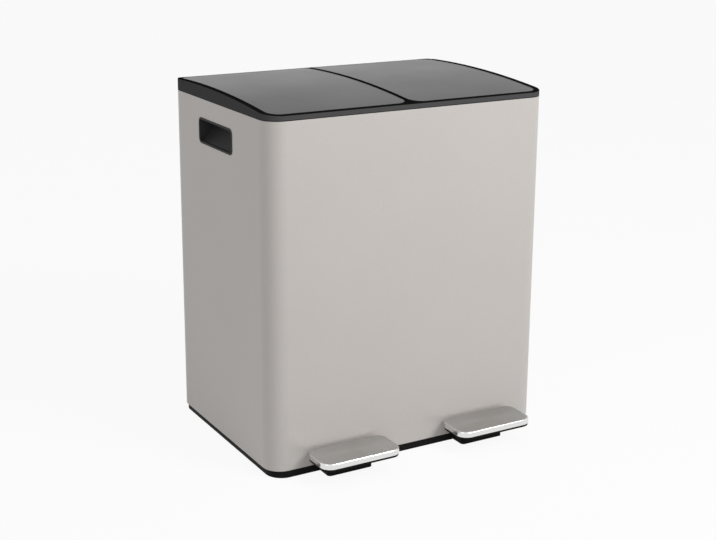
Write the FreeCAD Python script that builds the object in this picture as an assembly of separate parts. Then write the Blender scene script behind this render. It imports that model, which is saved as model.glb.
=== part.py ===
import FreeCAD
import Part
import math
import os

from FreeCAD import Vector

# Double recycling bin with two pedals. Millimetres and degrees.
# The origin is on the floor under the middle of the casing. The front is -Y, up is +Z.

# ---- Driving dimensions ----

# Steel casing
casing_width = 516.0
casing_depth = 368.0
casing_corner_radius = 31.0
casing_rim_height = 580.0
sheet_thickness = 0.7
seam_width = 1.0
seam_depth = 0.3

# Base
foot_height = 1.0
skirt_top = 13.0
skirt_side_inset = 4.0
skirt_corner_radius = 29.0
upstand_height = 35.0
base_wall = 2.5
base_floor_thickness = 3.0
plug_clearance = 0.3

# Feet and toe blocks
foot_radius = 12.0
foot_sink = 1.5
foot_inset = 38.0
toe_width = 82.0
toe_reach = 28.5
toe_clearance = 0.9
toe_corner_radius = 6.0
toe_pad_width = 50.0
toe_pad_depth = 14.0
toe_pad_corner_radius = 2.0

# Top frame
frame_flange_thickness = 1.2
frame_skirt_depth = 28.0
frame_wall = 2.5
ledge_depth = 8.0
deck_thickness = 2.5
rear_land = 3.0

# Buckets
bucket_centre_gap = 20.0
bucket_cup_gap = 5.0
bucket_front_gap = 14.0
bucket_corner_radius = 25.0
bucket_taper = 12.0
bucket_bottom_corner_radius = 20.0
bucket_floor_gap = 4.0
bucket_wall = 2.0
bucket_play = 1.0
bucket_rim_width = 6.0
bucket_rim_thickness = 3.0
grip_width = 100.0
grip_height = 22.0
grip_corner_radius = 10.0
grip_below_ledge = 15.0

# Hand-hold cups
handle_width = 129.0
handle_height = 43.0
handle_centre_y = 7.7
handle_below_rim = 52.3
handle_corner_radius = 9.0
handle_lip_width = 1.5
handle_lip_proud = 0.7
handle_depth = 24.0
handle_wall = 1.8
handle_sill_depth = 4.0
handle_ramp_top = 27.0
handle_ramp_sag = 1.0
handle_draft = 6.0
handle_play = 1.0

# Surround of the lids
surround_width = 3.8
surround_play = 0.6
surround_edge_radius = 1.2
surround_end_width = 1.5

# Lids
lid_seam = 1.4
lid_gap = 0.8
lid_front_rise = 8.6
lid_peak_rise = 21.9
lid_peak_before_rear = 128.0
lid_inner_corner_radius = 3.0
lid_edge_radius = 0.8
lid_border_outer = 5.4
lid_border_inner = 3.3
lid_skirt_wall = 2.4
lid_plate_thickness = 1.8
panel_thickness = 1.2
panel_sink = 0.5
panel_inner_radius = 22.0
panel_rear_radius = 6.0
panel_rear_past_hinge = 2.0
panel_play = 0.3
liner_thickness = 1.6
liner_play = 0.3
liner_lift = 0.2
liner_boss_radius = 4.0
liner_screw_half_spread_x = 65.0
liner_screw_half_spread_y = 60.0
barrel_backing = 2.0
bumper_radius = 5.0
bumper_inset = 30.0
bumper_gap = 0.3

# Lid hinge
hinge_setback = 9.5
knuckle_width = 12.0
knuckle_radius = 5.5
knuckle_spacing = 170.0
knuckle_play = 0.5
hinge_pin_radius = 2.0
hinge_pin_grip = 10.0
lid_opening = 80.0

# Crank and yoke
crank_radius = 15.0
crank_pin_radius = 2.5
crank_ear_thickness = 6.0
crank_boss_radius = 5.0
crank_hub_radius = 4.2
yoke_cheek = 4.5
yoke_ear_play = 0.5
yoke_slot_play = 0.5
yoke_slot_wall = 3.0
yoke_block_height = 14.0
yoke_edge_radius = 1.5
yoke_clearance = 1.0

# Push rod
rod_radius = 3.0
rod_socket_depth = 12.0
running_clearance = 0.06
foot_block_half_width = 8.0
foot_block_height = 20.0
foot_edge_radius = 2.0
foot_socket_depth = 6.0
foot_slot_play = 0.3

# Rod cover and guides
cover_half_width = 14.0
cover_front_gap = 10.0
cover_wall = 1.5
cover_above_base = 12.0
cover_below_yoke = 55.0
cover_flange = 12.0
cover_screw_inset = 36.0
guide_height = 12.0
guide_inset = 4.0

# Soft-close damper
damper_radius = 8.0
damper_wall = 2.0
damper_length = 90.0
damper_below_cover_top = 20.0
damper_foot_gap = 2.0
damper_behind_rod = 6.75
piston_head_height = 6.0
piston_head_rest = 15.0
piston_rod_radius = 2.0
damper_arm_below_yoke = 27.0
damper_arm_thickness = 4.0
damper_arm_margin = 4.0

# Pedal and lever
pedal_width = 142.5
pedal_depth = 68.5
pedal_face_gap = 5.3
pedal_top = 44.2
pedal_rim = 9.5
pedal_corner_radius = 18.0
pedal_edge_radius = 2.5
pedal_sheet = 1.0
carrier_lip = 3.7
carrier_lip_inset = 0.8
carrier_body_drop = 3.5
carrier_body_inset = 8.0
lever_width = 26.0
lever_wall = 2.5
lever_nose_height = 4.0
lever_flange_height = 12.5
lever_tip_inset = 9.0
lever_nose_inside = 14.0
lever_taper = 80.0
lever_tail = 8.0
lever_notch_play = 2.0
pivot_y = -40.0
pivot_below_lever_top = 6.5
pivot_pin_radius = 3.0
ear_thickness = 4.0
ear_radius = 8.0
ear_play = 0.5
pin_head_rim = 2.0
pin_head_length = 2.0

# Screws
screw_radius = 1.8
screw_head_radius = 3.6
screw_head_height = 1.8
screw_length = 8.0
casing_screw_spacing = 198.0

# How far a cutting tool runs past what it cuts
overrun = 1.0

# ---- Places worked out from the dimensions ----

half_width = casing_width / 2
half_depth = casing_depth / 2
front = -half_depth
rear = half_depth
pedal_x = casing_width / 4
inner_front = front + sheet_thickness
inner_rear = rear - sheet_thickness

deck_top = casing_rim_height + frame_flange_thickness
ledge_height = casing_rim_height - ledge_depth
deck_bottom = ledge_height - deck_thickness
frame_bottom = casing_rim_height - frame_skirt_depth
upstand_top = skirt_top + upstand_height
floor_top = foot_height + base_floor_thickness

# The crown of the lids is one arc seen from the side.
lid_bottom = deck_top + lid_gap
lid_front_height = casing_rim_height + lid_front_rise
lid_peak_height = casing_rim_height + lid_peak_rise
lid_peak_y = rear - lid_peak_before_rear
lid_peak_setback = lid_peak_y - front
crown_drop = lid_peak_height - lid_front_height
crown_radius = (lid_peak_setback ** 2 + crown_drop ** 2) / (2 * crown_drop)
crown_centre_z = lid_peak_height - crown_radius

# The barrel at the lid's rear touches the crown from inside and the lid's lower plane.
hinge_y = rear - hinge_setback
crown_above_bottom = lid_bottom - crown_centre_z
crown_to_hinge = hinge_y - lid_peak_y
barrel_radius = (crown_radius ** 2 - crown_above_bottom ** 2 - crown_to_hinge ** 2) / (
    2 * (crown_radius + crown_above_bottom)
)
hinge_z = lid_bottom + barrel_radius

# The crank swings from half the opening below the axis to half above it.
half_opening = math.radians(lid_opening / 2)
crank_y = hinge_y - crank_radius * math.cos(half_opening)
crank_z = hinge_z - crank_radius * math.sin(half_opening)
crank_reach_y = hinge_y - crank_radius
rod_travel = 2 * crank_radius * math.sin(half_opening)
rod_y = (crank_y + crank_reach_y) / 2

pedal_rear = front - pedal_face_gap
pedal_front = pedal_rear - pedal_depth
pedal_rim_bottom = pedal_top - pedal_rim
carrier_lip_bottom = pedal_rim_bottom - carrier_lip

# The lever lies under the carrier's lip, in a groove of its body. It swings alike below
# and above the level of its pivot.
lever_top = carrier_lip_bottom
carrier_bottom = lever_top - carrier_body_drop
pivot_z = lever_top - pivot_below_lever_top
lever_arm = rod_y - pivot_y
half_pedal_angle = math.degrees(math.atan(rod_travel / 2 / lever_arm))
pedal_angle = 2 * half_pedal_angle
lever_end_z = pivot_z - rod_travel / 2
foot_block_bottom = lever_end_z - foot_block_half_width


def pressed_height(y, z):
    """Height to which a point of the pedal or lever goes down with the pedal fully pressed."""
    turn = math.radians(pedal_angle)
    return pivot_z + (y - pivot_y) * math.sin(turn) + (z - pivot_z) * math.cos(turn)


toe_tip = front - toe_reach
toe_front_height = pressed_height(toe_tip, carrier_bottom) - toe_clearance
toe_rear_height = min(pressed_height(front, carrier_bottom) - toe_clearance, skirt_top)
lever_way_bottom = pressed_height(toe_tip, lever_top - lever_nose_height) - lever_notch_play

yoke_half_width = crank_ear_thickness / 2 + yoke_ear_play + yoke_cheek
yoke_slot_half = crank_pin_radius + yoke_slot_play
yoke_front = crank_reach_y - yoke_slot_half - yoke_slot_wall
yoke_rear = crank_y + yoke_slot_half + yoke_slot_wall
# With the lid open, the ear's underside is lowest where it enters the yoke from the rear.
ear_underside = (
    hinge_z + (hinge_y - yoke_rear) * math.tan(half_opening)
    - crank_hub_radius / math.cos(half_opening) - rod_travel
)
yoke_gap_bottom = min(crank_z - crank_boss_radius, ear_underside) - yoke_clearance
yoke_bottom = yoke_gap_bottom - yoke_block_height
yoke_top = crank_z + yoke_slot_half + yoke_slot_wall
# The ear of the closed lid passes down through the deck here.
ear_above_deck = hinge_z - crank_hub_radius / math.cos(half_opening) - deck_top
ear_at_deck = hinge_y - ear_above_deck / math.tan(half_opening)

cover_front = rod_y - cover_front_gap
cover_bottom = upstand_top + cover_above_base
cover_top = yoke_bottom - cover_below_yoke
guide_heights = [cover_bottom + guide_inset, cover_top - guide_inset - guide_height]

damper_top = cover_top - damper_below_cover_top
damper_bottom = damper_top - damper_length
damper_centre_y = rod_y + damper_behind_rod
damper_arm_bottom = yoke_bottom - damper_arm_below_yoke
damper_arm_top = damper_arm_bottom + damper_arm_thickness

bucket_bottom_height = upstand_top + bucket_floor_gap
handle_centre_height = casing_rim_height - handle_below_rim


# ---- Shapes used throughout ----

def rounded_face(x_min, x_max, y_min, y_max, radii):
    """Rectangle at z = 0. Radii run front left, front right, rear right, rear left."""
    corners = [(x_min, y_min), (x_max, y_min), (x_max, y_max), (x_min, y_max)]
    inward = [(1, 1), (-1, 1), (-1, -1), (1, -1)]
    stretches = []
    for index, radius in enumerate(radii):
        centre_x = corners[index][0] + inward[index][0] * radius
        centre_y = corners[index][1] + inward[index][1] * radius
        angles = [math.radians(180 + 90 * index + turn) for turn in (0, 45, 90)]
        stretches.append(
            [Vector(centre_x + radius * math.cos(a), centre_y + radius * math.sin(a), 0) for a in angles]
        )
    edges = []
    for index, (start, middle, end) in enumerate(stretches):
        last_end = stretches[index - 1][2]
        edges.append(Part.LineSegment(last_end, start).toShape())
        if radii[index] > 0:
            edges.append(Part.Arc(start, middle, end).toShape())
    return Part.Face(Part.Wire(edges))


def prism(face, z_min, z_max):
    """Extrude a face at z = 0 between two heights."""
    return face.translated(Vector(0, 0, z_min)).extrude(Vector(0, 0, z_max - z_min))


def rounded_block(x_min, x_max, y_min, y_max, radius, z_min, z_max):
    return prism(rounded_face(x_min, x_max, y_min, y_max, [radius] * 4), z_min, z_max)


def box(x_min, x_max, y_min, y_max, z_min, z_max):
    return Part.makeBox(x_max - x_min, y_max - y_min, z_max - z_min, Vector(x_min, y_min, z_min))


def bar_x(x_min, x_max, y, z, radius):
    """Round bar along X."""
    return Part.makeCylinder(radius, x_max - x_min, Vector(x_min, y, z), Vector(1, 0, 0))


def bar_y(x, z, y_min, y_max, radius):
    """Round bar along Y."""
    return Part.makeCylinder(radius, y_max - y_min, Vector(x, y_min, z), Vector(0, 1, 0))


def bar_z(x, y, z_min, z_max, radius):
    """Round bar along Z."""
    return Part.makeCylinder(radius, z_max - z_min, Vector(x, y, z_min))


def side_face(start, steps):
    """Face in the side plane x = 0. A step is (end,) or, for an arc, (middle, end), as (y, z)."""
    edges = []
    here = start
    for step in steps:
        points = [Vector(0, y, z) for y, z in (here,) + step]
        if len(points) == 2:
            edges.append(Part.LineSegment(points[0], points[1]).toShape())
        else:
            edges.append(Part.Arc(points[0], points[1], points[2]).toShape())
        here = step[-1]
    return Part.Face(Part.Wire(edges))


def side_block(start, steps, x_min, x_max):
    """Extrude a side outline along X."""
    face = side_face(start, steps).translated(Vector(x_min, 0, 0))
    return face.extrude(Vector(x_max - x_min, 0, 0))


def wall_block(y_min, y_max, z_min, z_max, radius, x_min, x_max):
    """Rounded block that is outlined in the side plane and extruded along X."""
    block = rounded_block(y_min, y_max, z_min, z_max, radius, x_min, x_max)
    block.rotate(Vector(0, 0, 0), Vector(1, 1, 1), 120)
    return block


def front_block(x_min, x_max, z_min, z_max, radius, y_min, y_max):
    """Rounded block that is outlined in the front plane and extruded along Y."""
    block = rounded_block(x_min, x_max, z_min, z_max, radius, -y_max, -y_min)
    block.rotate(Vector(0, 0, 0), Vector(1, 0, 0), 90)
    return block


def slot_along_x(y_min, y_max, z, radius, x_min, x_max):
    """Slot with round ends, between the centres of its ends, cut through along X."""
    middle = box(x_min, x_max, y_min, y_max, z - radius, z + radius)
    return middle.fuse([bar_x(x_min, x_max, y, z, radius) for y in (y_min, y_max)])


def mirrored(shape):
    """The same piece on the other side of the middle plane."""
    return shape.mirror(Vector(0, 0, 0), Vector(1, 0, 0))


def joined(shapes):
    return shapes[0].fuse(shapes[1:]).removeSplitter()


def less(shape, tools):
    return shape.cut(tools)


def casing_block(inset, z_min, z_max):
    """The casing's outline, drawn in by an inset, between two heights."""
    return rounded_block(
        -half_width + inset, half_width - inset, front + inset, rear - inset,
        casing_corner_radius - inset, z_min, z_max,
    )


def screw(x, z, outer_y):
    """Pan-head screw driven forward through the rear wall."""
    head = bar_y(x, z, outer_y, outer_y + screw_head_height, screw_head_radius)
    shank = bar_y(x, z, outer_y - screw_length, outer_y, screw_radius)
    return head.fuse(shank)


def screw_holes(places):
    """Clear the shanks of screws in the rear wall."""
    return [bar_y(x, z, rear - screw_length, rear, screw_radius) for x, z in places]


# ---- Crown of the lids ----

def crown_height(y):
    return crown_centre_z + math.sqrt(crown_radius ** 2 - (y - lid_peak_y) ** 2)


def crown_band(upper, lower):
    """Solid strip over the whole width, between two depths below the panel's top surface."""
    levels = []
    for depth in (upper, lower):
        levels.append([(y, crown_height(y) - panel_sink - depth) for y in (front, 0, rear)])
    top, bottom = levels
    steps = [
        (top[1], top[2]),
        (bottom[2],),
        (bottom[1], bottom[0]),
        (top[0],),
    ]
    return side_block(top[0], steps, -half_width, half_width)


# ---- Left lid; the right one is its mirror image ----

lid_inset = surround_width + surround_play
lid_left_edge = -half_width + lid_inset
lid_right_edge = -lid_seam / 2
lid_front = front + lid_inset
lid_outer_radius = casing_corner_radius - lid_inset
lid_centre_x = -pedal_x
knuckle_centres = [lid_centre_x - knuckle_spacing / 2, lid_centre_x + knuckle_spacing / 2]
cavity_rear = hinge_y - barrel_radius - barrel_backing


def lid_plan():
    """Block of the left lid's plan: inside the surround, and behind it out to the casing."""
    outline = rounded_face(
        lid_left_edge, lid_right_edge, lid_front, rear,
        [lid_outer_radius, lid_inner_corner_radius, lid_inner_corner_radius, 0],
    )
    block = prism(outline, lid_bottom - overrun, lid_peak_height + overrun)
    return block.common(casing_block(0, lid_bottom - overrun, lid_peak_height + overrun))


def panel_outline(play):
    """The left panel's plan outline, grown by its play for the pocket."""
    outer = lid_outer_radius - lid_border_outer + play
    return rounded_face(
        lid_left_edge + lid_border_outer - play,
        lid_right_edge - lid_border_inner + play,
        lid_front + lid_border_outer - play,
        hinge_y + panel_rear_past_hinge + play,
        [outer, panel_inner_radius + play, panel_rear_radius + play, outer],
    )


def liner_outline(play):
    """The left liner's plan outline inside the skirt."""
    inset = lid_skirt_wall + play
    outer = lid_outer_radius - inset
    return rounded_face(
        lid_left_edge + inset, lid_right_edge - inset, lid_front + inset, cavity_rear - play,
        [outer, 0, 0, 0],
    )


nose_y = front - overrun


def lid_envelope():
    """Crown, barrel and lower plane, cut to the lid's plan."""
    tangent_turn = math.atan2(hinge_y - lid_peak_y, hinge_z - crown_centre_z)
    tangent = (
        hinge_y + barrel_radius * math.sin(tangent_turn),
        hinge_z + barrel_radius * math.cos(tangent_turn),
    )
    middle_y = (nose_y + tangent[0]) / 2
    steps = [
        ((nose_y, crown_height(nose_y)),),
        ((middle_y, crown_height(middle_y)), tangent),
        ((hinge_y + barrel_radius, hinge_z), (hinge_y, lid_bottom)),
        ((nose_y, lid_bottom),),
    ]
    solid = side_block((nose_y, lid_bottom), steps, lid_left_edge - overrun, lid_right_edge + overrun)
    return solid.common(lid_plan()).Solids[0]


def rounded_crown_edges(solid, radius, last_y):
    """Round the edge where the crown meets upright sides, as far back as last_y."""
    edges = []
    for edge in solid.Edges:
        if edge.BoundBox.YMax > last_y + 0.01:
            continue
        middle = edge.valueAt((edge.FirstParameter + edge.LastParameter) / 2)
        on_crown = abs(middle.z - crown_height(middle.y)) < 0.01
        if on_crown and edge.Length > radius and edge.BoundBox.YMin < last_y:
            edges.append(edge)
    return solid.makeFillet(radius, edges)


def knuckle_slot(x):
    """Room for a fixed knuckle at every angle of the lid."""
    half = knuckle_width / 2 + knuckle_play
    radius = knuckle_radius + knuckle_play
    return [
        bar_x(x - half, x + half, hinge_y, hinge_z, radius),
        box(x - half, x + half, hinge_y - radius, rear, lid_bottom - overrun, hinge_z),
        box(x - half, x + half, hinge_y, rear, lid_bottom - overrun, hinge_z + radius),
        bar_x(
            x - half - hinge_pin_grip - knuckle_play, x + half + hinge_pin_grip + knuckle_play,
            hinge_y, hinge_z, hinge_pin_radius + running_clearance,
        ),
    ]


def crank_ear():
    """Rib that carries the crank pin under the barrel."""
    x_min = lid_centre_x - crank_ear_thickness / 2
    x_max = lid_centre_x + crank_ear_thickness / 2
    across_y = crank_hub_radius * math.sin(half_opening)
    across_z = crank_hub_radius * math.cos(half_opening)
    corners = [
        (hinge_y - across_y, hinge_z + across_z),
        (crank_y - across_y, crank_z + across_z),
        (crank_y + across_y, crank_z - across_z),
        (hinge_y + across_y, hinge_z - across_z),
    ]
    steps = [(corner,) for corner in corners[1:] + corners[:1]]
    arm = side_block(corners[0], steps, x_min, x_max)
    hub = bar_x(x_min, x_max, hinge_y, hinge_z, crank_hub_radius)
    boss = bar_x(x_min, x_max, crank_y, crank_z, crank_boss_radius)
    root = box(
        x_min, x_max, hinge_y - crank_hub_radius, hinge_y + crank_hub_radius,
        hinge_z, hinge_z + barrel_radius / 2 + lid_plate_thickness,
    )
    pin_hole = bar_x(x_min, x_max, crank_y, crank_z, crank_pin_radius)
    return less(joined([arm, hub, boss, root]), [pin_hole])


yoke_notch_half = yoke_half_width + yoke_clearance
yoke_notch_front = yoke_front - crank_hub_radius - yoke_clearance

liner_screw_places = [
    (lid_centre_x + sx * liner_screw_half_spread_x, lid_peak_y + sy * liner_screw_half_spread_y)
    for sx in (-1, 1)
    for sy in (-1, 1)
]


def make_lid_frame():
    solid = rounded_crown_edges(lid_envelope(), lid_edge_radius, hinge_y)
    plate_depth = panel_thickness + lid_plate_thickness
    pocket = crown_band(-lid_peak_rise, panel_thickness).common(
        prism(panel_outline(panel_play), lid_bottom, lid_peak_height + lid_peak_rise)
    )
    below_plate = crown_band(plate_depth, plate_depth + 2 * lid_peak_rise)
    cavity = below_plate.common(prism(liner_outline(0), lid_bottom - overrun, lid_peak_height))
    bosses = [
        bar_z(x, y, lid_bottom + liner_lift + liner_thickness, crown_height(y), liner_boss_radius)
        for x, y in liner_screw_places
    ]
    cavity = less(cavity, bosses)
    notch = box(
        lid_centre_x - yoke_notch_half, lid_centre_x + yoke_notch_half,
        yoke_notch_front, rear, lid_bottom - overrun, hinge_z + barrel_radius / 2,
    )
    tools = [pocket, cavity, notch]
    for x in knuckle_centres:
        tools += knuckle_slot(x)
    tools += [
        bar_z(x, y, lid_bottom, lid_bottom + liner_lift + screw_length, screw_radius)
        for x, y in liner_screw_places
    ]
    return less(solid, tools).fuse(crank_ear()).removeSplitter()


def make_lid_panel():
    plate = crown_band(0, panel_thickness)
    return plate.common(prism(panel_outline(0), lid_bottom, lid_peak_height + overrun))


def make_lid_liner():
    bottom = lid_bottom + liner_lift
    plate = prism(liner_outline(liner_play), bottom, bottom + liner_thickness)
    notch = box(
        lid_centre_x - yoke_notch_half, lid_centre_x + yoke_notch_half,
        yoke_notch_front, rear, bottom, bottom + liner_thickness,
    )
    holes = []
    for x, y in liner_screw_places:
        holes.append(bar_z(x, y, bottom, bottom + liner_thickness, screw_radius))
        holes.append(bar_z(x, y, bottom, bottom + liner_thickness / 2, screw_head_radius))
    return less(plate, [notch] + holes)


def make_liner_screws():
    bottom = lid_bottom + liner_lift
    screws = []
    for x, y in liner_screw_places:
        head = bar_z(x, y, bottom, bottom + liner_thickness / 2, screw_head_radius)
        shank = bar_z(x, y, bottom + liner_thickness / 2, bottom + screw_length, screw_radius)
        screws.append(head.fuse(shank))
    return Part.makeCompound(screws)


def make_lid_bumpers():
    y = lid_front + lid_skirt_wall + bumper_radius + 2 * liner_play
    places = [
        (lid_left_edge + bumper_inset + bumper_radius, y),
        (lid_right_edge - bumper_inset, y),
    ]
    pads = [
        bar_z(x, y, deck_top + bumper_gap, lid_bottom + liner_lift, bumper_radius)
        for x, y in places
    ]
    return Part.makeCompound(pads)


def make_crank_pin():
    half = yoke_half_width
    return bar_x(lid_centre_x - half, lid_centre_x + half, crank_y, crank_z, crank_pin_radius)


# ---- Push rod, left ----

def make_rod_yoke():
    x_min = lid_centre_x - yoke_half_width
    x_max = lid_centre_x + yoke_half_width
    block = front_block(
        x_min, x_max, yoke_bottom, yoke_top, yoke_edge_radius, yoke_front, yoke_rear,
    )
    gap_half = crank_ear_thickness / 2 + yoke_ear_play
    gap = box(
        lid_centre_x - gap_half, lid_centre_x + gap_half,
        yoke_front, yoke_rear, yoke_gap_bottom, yoke_top,
    )
    slot = slot_along_x(crank_reach_y, crank_y, crank_z, yoke_slot_half, x_min, x_max)
    socket = bar_z(lid_centre_x, rod_y, yoke_bottom, yoke_bottom + rod_socket_depth, rod_radius)
    return less(block, [gap, slot, socket])


def make_push_rod():
    bottom = foot_block_bottom + foot_block_height - foot_socket_depth
    return bar_z(lid_centre_x, rod_y, bottom, yoke_bottom + rod_socket_depth, rod_radius)


def make_rod_foot():
    half = foot_block_half_width
    top = foot_block_bottom + foot_block_height
    block = rounded_block(
        lid_centre_x - half, lid_centre_x + half, rod_y - half, rod_y + half,
        foot_edge_radius, foot_block_bottom, top,
    )
    slot = slot_along_x(
        rod_y - foot_slot_play, rod_y + foot_slot_play, lever_end_z,
        pivot_pin_radius + foot_slot_play, lid_centre_x - half, lid_centre_x + half,
    )
    socket = bar_z(lid_centre_x, rod_y, top - foot_socket_depth, top, rod_radius)
    return less(block, [slot, socket])


damper_x = lid_centre_x + cover_half_width + damper_foot_gap + damper_radius


def make_damper_arm():
    margin = rod_radius + damper_arm_margin
    plate = rounded_block(
        lid_centre_x - margin, damper_x + margin, rod_y - margin, damper_centre_y + margin,
        damper_arm_margin, damper_arm_bottom, damper_arm_top,
    )
    holes = [
        bar_z(lid_centre_x, rod_y, damper_arm_bottom, damper_arm_top, rod_radius),
        bar_z(damper_x, damper_centre_y, damper_arm_bottom, damper_arm_top, piston_rod_radius),
    ]
    return less(plate, holes)


def make_damper_piston():
    head_bottom = damper_bottom + piston_head_rest
    top = damper_arm_top
    head_radius = damper_radius - damper_wall - running_clearance
    head = bar_z(damper_x, damper_centre_y, head_bottom, head_bottom + piston_head_height, head_radius)
    stem = bar_z(damper_x, damper_centre_y, head_bottom, top, piston_rod_radius)
    rivet = bar_z(damper_x, damper_centre_y, top, top + piston_rod_radius, 2 * piston_rod_radius)
    return joined([head, stem, rivet])


def make_damper_cylinder():
    top = damper_top
    body = bar_z(damper_x, damper_centre_y, damper_bottom, top, damper_radius)
    foot = box(
        lid_centre_x + cover_half_width, damper_x,
        damper_centre_y - damper_radius / 2, damper_centre_y + damper_radius / 2,
        damper_bottom + damper_radius, top - damper_radius,
    )
    chamber = bar_z(
        damper_x, damper_centre_y, damper_bottom + damper_wall, top - damper_wall,
        damper_radius - damper_wall,
    )
    bore = bar_z(
        damper_x, damper_centre_y, top - damper_wall, top, piston_rod_radius + running_clearance,
    )
    return less(joined([body, foot]), [chamber, bore])


# ---- Rod cover and guides, left ----

cover_screw_places = [
    (lid_centre_x + side * (cover_half_width + cover_flange / 2), height)
    for side in (-1, 1)
    for height in (cover_bottom + cover_screw_inset, cover_top - cover_screw_inset)
]


def make_rod_cover():
    hat = box(
        lid_centre_x - cover_half_width, lid_centre_x + cover_half_width,
        cover_front, inner_rear, cover_bottom, cover_top,
    )
    flange_half = cover_half_width + cover_flange
    flanges = box(
        lid_centre_x - flange_half, lid_centre_x + flange_half,
        inner_rear - cover_wall, inner_rear, cover_bottom, cover_top,
    )
    hollow = box(
        lid_centre_x - cover_half_width + cover_wall, lid_centre_x + cover_half_width - cover_wall,
        cover_front + cover_wall, inner_rear, cover_bottom, cover_top,
    )
    return less(joined([hat, flanges]), [hollow] + screw_holes(cover_screw_places))


def make_rod_guide(height):
    half = cover_half_width - cover_wall
    block = box(
        lid_centre_x - half, lid_centre_x + half,
        cover_front + cover_wall, inner_rear, height, height + guide_height,
    )
    hole = bar_z(
        lid_centre_x, rod_y, height, height + guide_height, rod_radius + running_clearance,
    )
    return less(block, [hole])


# ---- Pedal and lever, left ----

def pedal_block(inset, z_min, z_max):
    return rounded_block(
        lid_centre_x - pedal_width / 2 + inset, lid_centre_x + pedal_width / 2 - inset,
        pedal_front + inset, pedal_rear - inset, pedal_corner_radius - inset, z_min, z_max,
    )


def top_edges(solid, height):
    return [
        edge for edge in solid.Edges
        if abs(edge.BoundBox.ZMin - height) < 1e-6 and abs(edge.BoundBox.ZMax - height) < 1e-6
    ]


def rounded_top(solid, height, radius):
    return solid.makeFillet(radius, top_edges(solid, height))


def make_pedal_cover():
    outer = pedal_block(0, pedal_rim_bottom, pedal_top)
    outer = rounded_top(outer, pedal_top, pedal_edge_radius)
    inner_top = pedal_top - pedal_sheet
    inner = pedal_block(pedal_sheet, pedal_rim_bottom, inner_top)
    inner = rounded_top(inner, inner_top, pedal_edge_radius - pedal_sheet)
    return less(outer, [inner])


pedal_screw_places = [
    pedal_front + (lever_tip_inset + pedal_depth / 4),
    pedal_rear - pedal_depth / 4,
]


def make_pedal_carrier():
    inner_top = pedal_top - pedal_sheet
    plug = pedal_block(pedal_sheet, pedal_rim_bottom, inner_top)
    plug = rounded_top(plug, inner_top, pedal_edge_radius - pedal_sheet)
    lip = pedal_block(carrier_lip_inset, carrier_lip_bottom, pedal_rim_bottom)
    body = pedal_block(carrier_body_inset, carrier_bottom, carrier_lip_bottom)
    groove = box(
        lid_centre_x - lever_width / 2 - lever_notch_play / 4,
        lid_centre_x + lever_width / 2 + lever_notch_play / 4,
        pedal_front + lever_tip_inset - lever_notch_play / 4, pedal_rear,
        carrier_bottom, lever_top,
    )
    holes = [
        bar_z(lid_centre_x, y, lever_top, lever_top + screw_length, screw_radius)
        for y in pedal_screw_places
    ]
    return less(joined([plug, lip, body]), [groove] + holes)


def make_pedal_lever():
    half = lever_width / 2
    nose_y = pedal_front + lever_tip_inset
    nose_bottom = lever_top - lever_nose_height
    flange_bottom = lever_top - lever_flange_height
    end_y = rod_y + lever_tail
    tail_top = lever_end_z + pivot_below_lever_top
    tail_bottom = tail_top - lever_flange_height
    taper_y = front + lever_nose_inside
    outline = [
        (nose_y, nose_bottom), (nose_y, lever_top), (pivot_y, lever_top), (end_y, tail_top),
        (end_y, tail_bottom), (pivot_y, flange_bottom), (taper_y + lever_taper, flange_bottom),
        (taper_y, nose_bottom),
    ]
    steps = [(point,) for point in outline[1:] + outline[:1]]
    solid = side_block(outline[0], steps, lid_centre_x - half, lid_centre_x + half)
    web = lever_wall
    below_web = [
        (nose_y, nose_bottom - web), (nose_y, lever_top - web), (pivot_y, lever_top - web),
        (end_y, tail_top - web), (end_y, tail_bottom - web),
    ]
    steps = [(point,) for point in below_web[1:] + below_web[:1]]
    inside = half - lever_wall
    hollow = side_block(below_web[0], steps, lid_centre_x - inside, lid_centre_x + inside)
    fork = box(
        lid_centre_x - inside, lid_centre_x + inside,
        rod_y - foot_block_half_width - 2 * lever_notch_play, end_y,
        tail_bottom - web, tail_top + lever_flange_height,
    )
    pivot = bar_x(
        lid_centre_x - half, lid_centre_x + half, pivot_y, pivot_z,
        pivot_pin_radius + running_clearance,
    )
    end_hole = bar_x(lid_centre_x - half, lid_centre_x + half, rod_y, lever_end_z, pivot_pin_radius)
    holes = [
        bar_z(lid_centre_x, y, lever_top - web, lever_top, screw_radius) for y in pedal_screw_places
    ]
    return less(solid, [hollow, fork, pivot, end_hole] + holes)


def make_lever_end_pin():
    half = lever_width / 2
    return bar_x(lid_centre_x - half, lid_centre_x + half, rod_y, lever_end_z, pivot_pin_radius)


def make_pedal_screws():
    under = lever_top - lever_wall
    screws = []
    for y in pedal_screw_places:
        head = bar_z(lid_centre_x, y, under - screw_head_height, under, screw_head_radius)
        shank = bar_z(lid_centre_x, y, under, lever_top + screw_length, screw_radius)
        screws.append(head.fuse(shank))
    return Part.makeCompound(screws)


ear_inner = lever_width / 2 + ear_play
ear_outer = ear_inner + ear_thickness


def make_lever_pivot_pin():
    """Clevis pin with a head on its outer end."""
    shank = bar_x(
        lid_centre_x - ear_outer, lid_centre_x + ear_outer, pivot_y, pivot_z, pivot_pin_radius,
    )
    head = bar_x(
        lid_centre_x - ear_outer - pin_head_length, lid_centre_x - ear_outer, pivot_y, pivot_z,
        pivot_pin_radius + pin_head_rim,
    )
    return shank.fuse(head)


# ---- Hand-hold cup, left ----

handle_y_min = handle_centre_y - handle_width / 2
handle_y_max = handle_centre_y + handle_width / 2
handle_z_min = handle_centre_height - handle_height / 2
handle_z_max = handle_centre_height + handle_height / 2


def handle_block(inset, x_min, x_max):
    return wall_block(
        handle_y_min + inset, handle_y_max - inset, handle_z_min + inset, handle_z_max - inset,
        handle_corner_radius - inset, x_min, x_max,
    )


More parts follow.
